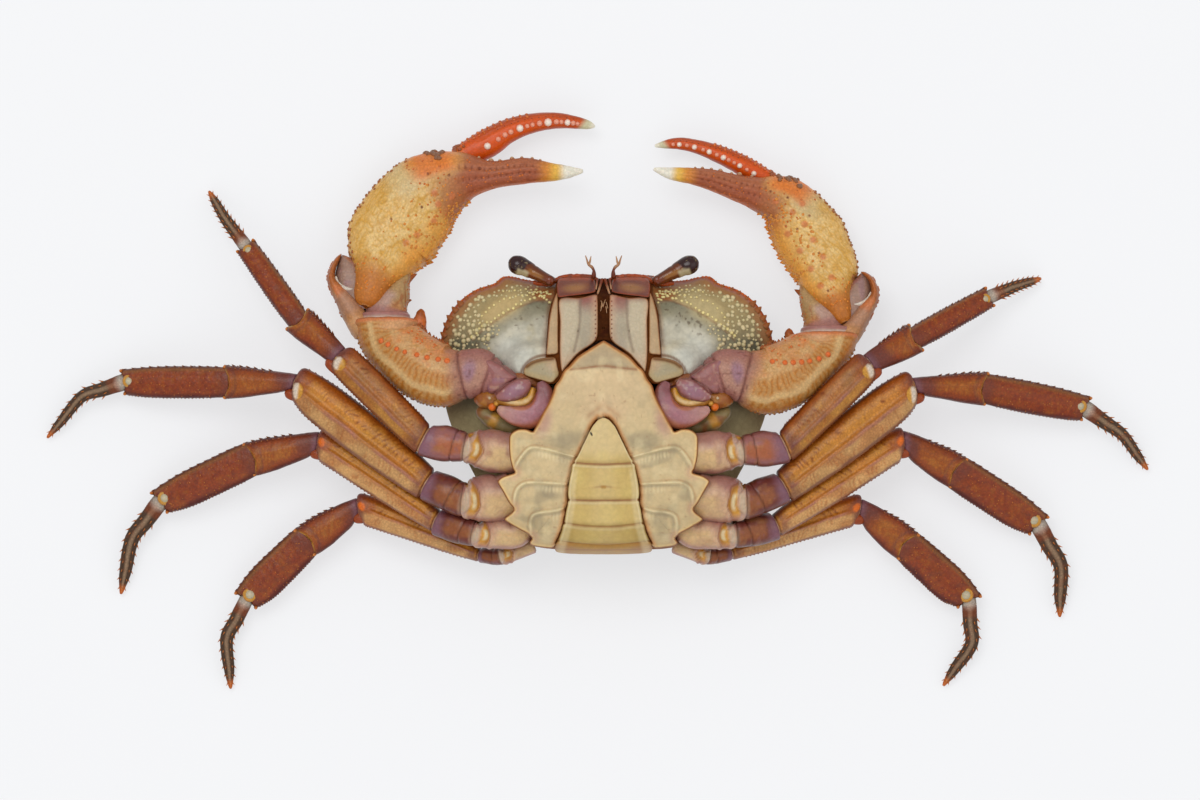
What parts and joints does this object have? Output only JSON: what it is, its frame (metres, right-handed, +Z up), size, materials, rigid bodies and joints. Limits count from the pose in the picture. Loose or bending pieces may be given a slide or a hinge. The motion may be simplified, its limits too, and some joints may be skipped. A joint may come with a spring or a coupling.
{
  "type": "freshwater crab",
  "caption": "Life-size still model of a freshwater crab lying on its back, with unequal claws curved forwards and jointed walking legs spread to both sides.",
  "frame": {"origin": "middle of the bounding box in plan, on the floor that the back of the shell rests on", "axes": "+Y towards the front of the crab, +X towards its own left side, +Z up, which is the belly side"},
  "size_m": [0.1832, 0.0954, 0.0247],
  "materials": {
    "carapace": "satin shell",
    "sternum": "satin shell",
    "pleon": "satin shell",
    "epistome": "satin shell",
    "maxilliped": "satin shell",
    "eye": "satin shell",
    "antennule": "satin shell",
    "base": "satin shell",
    "merus": "satin shell",
    "carpus": "satin shell",
    "propodus": "satin shell",
    "dactylus": "satin shell",
    "claw_merus": "satin shell",
    "claw_carpus": "satin shell",
    "claw_palm": "satin shell",
    "claw_dactylus": "satin shell"
  },
  "bodies": {
    "root": {"carapace": "carapace", "sternum": "sternum", "pleon": "pleon", "epistome": "epistome", "maxilliped_right": "maxilliped", "eye_right": "eye", "antennule_right": "antennule", "claw_right_base": "base", "claw_right_merus": "claw_merus", "claw_right_carpus": "claw_carpus", "claw_right_palm": "claw_palm", "claw_right_dactylus": "claw_dactylus", "leg_2_right_base": "base", "leg_2_right_merus": "merus", "leg_2_right_carpus": "carpus", "leg_2_right_propodus": "propodus", "leg_2_right_dactylus": "dactylus", "leg_3_right_base": "base", "leg_3_right_merus": "merus", "leg_3_right_carpus": "carpus", "leg_3_right_propodus": "propodus", "leg_3_right_dactylus": "dactylus", "leg_4_right_base": "base", "leg_4_right_merus": "merus", "leg_4_right_carpus": "carpus", "leg_4_right_propodus": "propodus", "leg_4_right_dactylus": "dactylus", "leg_5_right_base": "base", "leg_5_right_merus": "merus", "leg_5_right_carpus": "carpus", "leg_5_right_propodus": "propodus", "leg_5_right_dactylus": "dactylus", "maxilliped_left": "maxilliped", "eye_left": "eye", "antennule_left": "antennule", "claw_left_base": "base", "claw_left_merus": "claw_merus", "claw_left_carpus": "claw_carpus", "claw_left_palm": "claw_palm", "claw_left_dactylus": "claw_dactylus", "leg_2_left_base": "base", "leg_2_left_merus": "merus", "leg_2_left_carpus": "carpus", "leg_2_left_propodus": "propodus", "leg_2_left_dactylus": "dactylus", "leg_3_left_base": "base", "leg_3_left_merus": "merus", "leg_3_left_carpus": "carpus", "leg_3_left_propodus": "propodus", "leg_3_left_dactylus": "dactylus", "leg_4_left_base": "base", "leg_4_left_merus": "merus", "leg_4_left_carpus": "carpus", "leg_4_left_propodus": "propodus", "leg_4_left_dactylus": "dactylus", "leg_5_left_base": "base", "leg_5_left_merus": "merus", "leg_5_left_carpus": "carpus", "leg_5_left_propodus": "propodus", "leg_5_left_dactylus": "dactylus"}
  },
  "joints": []
}
